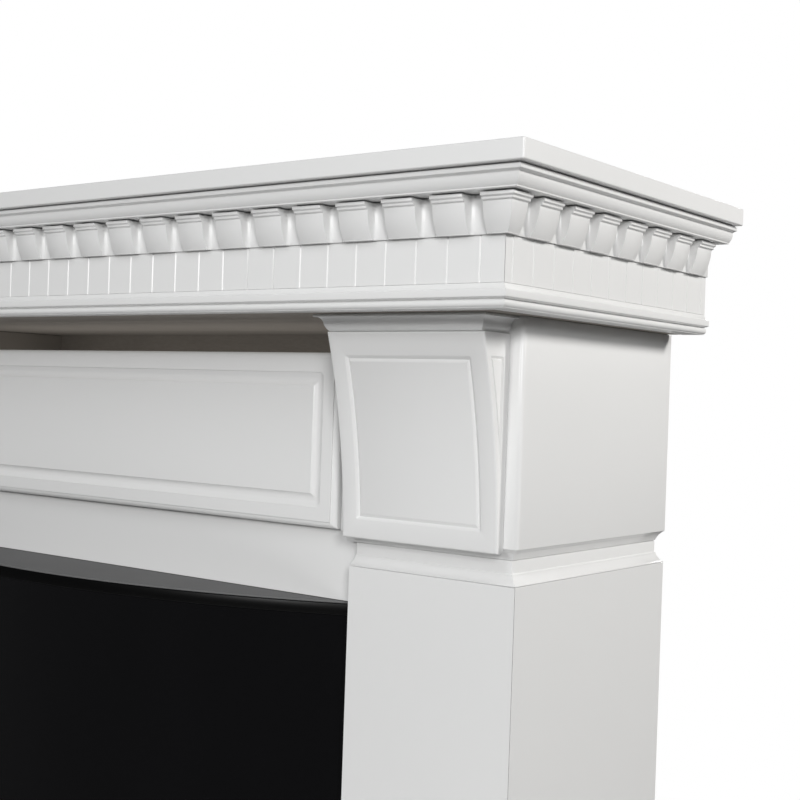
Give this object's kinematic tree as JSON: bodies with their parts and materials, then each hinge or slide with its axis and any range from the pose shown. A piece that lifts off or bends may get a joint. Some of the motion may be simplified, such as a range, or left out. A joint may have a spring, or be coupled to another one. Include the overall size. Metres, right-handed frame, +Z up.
{
  "type": "fireplace mantelpiece",
  "caption": "White painted fire surround with a moulded block cornice, corbelled legs, a panelled header and a bowed black electric fire.",
  "frame": {"origin": "middle of the footprint, on the floor", "axes": "+X along the shelf to the right, +Y towards the wall, +Z up; the front faces -Y"},
  "size_m": [1.27, 0.4, 1.05],
  "materials": {
    "white_paint": "satin white paint on smooth fibreboard",
    "raw_board": "unpainted brown board, seen only in shadow",
    "black_metal": "satin black powder coat",
    "grey_metal": "matt dark grey powder coat",
    "black_glass": "gloss black toughened glass"
  },
  "bodies": {
    "root": {"apron_board": "white_paint", "back_board": "raw_board", "blocks_front": "white_paint", "blocks_left": "white_paint", "blocks_right": "white_paint", "bottom_rail": "white_paint", "crown_front": "white_paint", "crown_left": "white_paint", "crown_right": "white_paint", "fire_base_plate": "grey_metal", "fire_frame": "black_metal", "fire_glass": "black_glass", "fire_housing": "grey_metal", "fire_top_plate": "grey_metal", "frieze_base_front": "white_paint", "frieze_base_left": "white_paint", "frieze_base_right": "white_paint", "frieze_front": "white_paint", "frieze_left": "white_paint", "frieze_right": "white_paint", "header_panel": "white_paint", "hearth_board": "white_paint", "left_leg_casing": "white_paint", "left_leg_corbel": "white_paint", "left_leg_corbel_cap": "white_paint", "left_leg_inner_board": "white_paint", "left_leg_neck_front": "white_paint", "left_leg_neck_side": "white_paint", "left_leg_plinth_front": "white_paint", "left_leg_plinth_side": "white_paint", "left_leg_shaft_front": "white_paint", "left_leg_shaft_side": "white_paint", "mantel_shelf": "white_paint", "right_leg_casing": "white_paint", "right_leg_corbel": "white_paint", "right_leg_corbel_cap": "white_paint", "right_leg_inner_board": "white_paint", "right_leg_neck_front": "white_paint", "right_leg_neck_side": "white_paint", "right_leg_plinth_front": "white_paint", "right_leg_plinth_side": "white_paint", "right_leg_shaft_front": "white_paint", "right_leg_shaft_side": "white_paint", "soffit_board": "raw_board"}
  },
  "joints": []
}
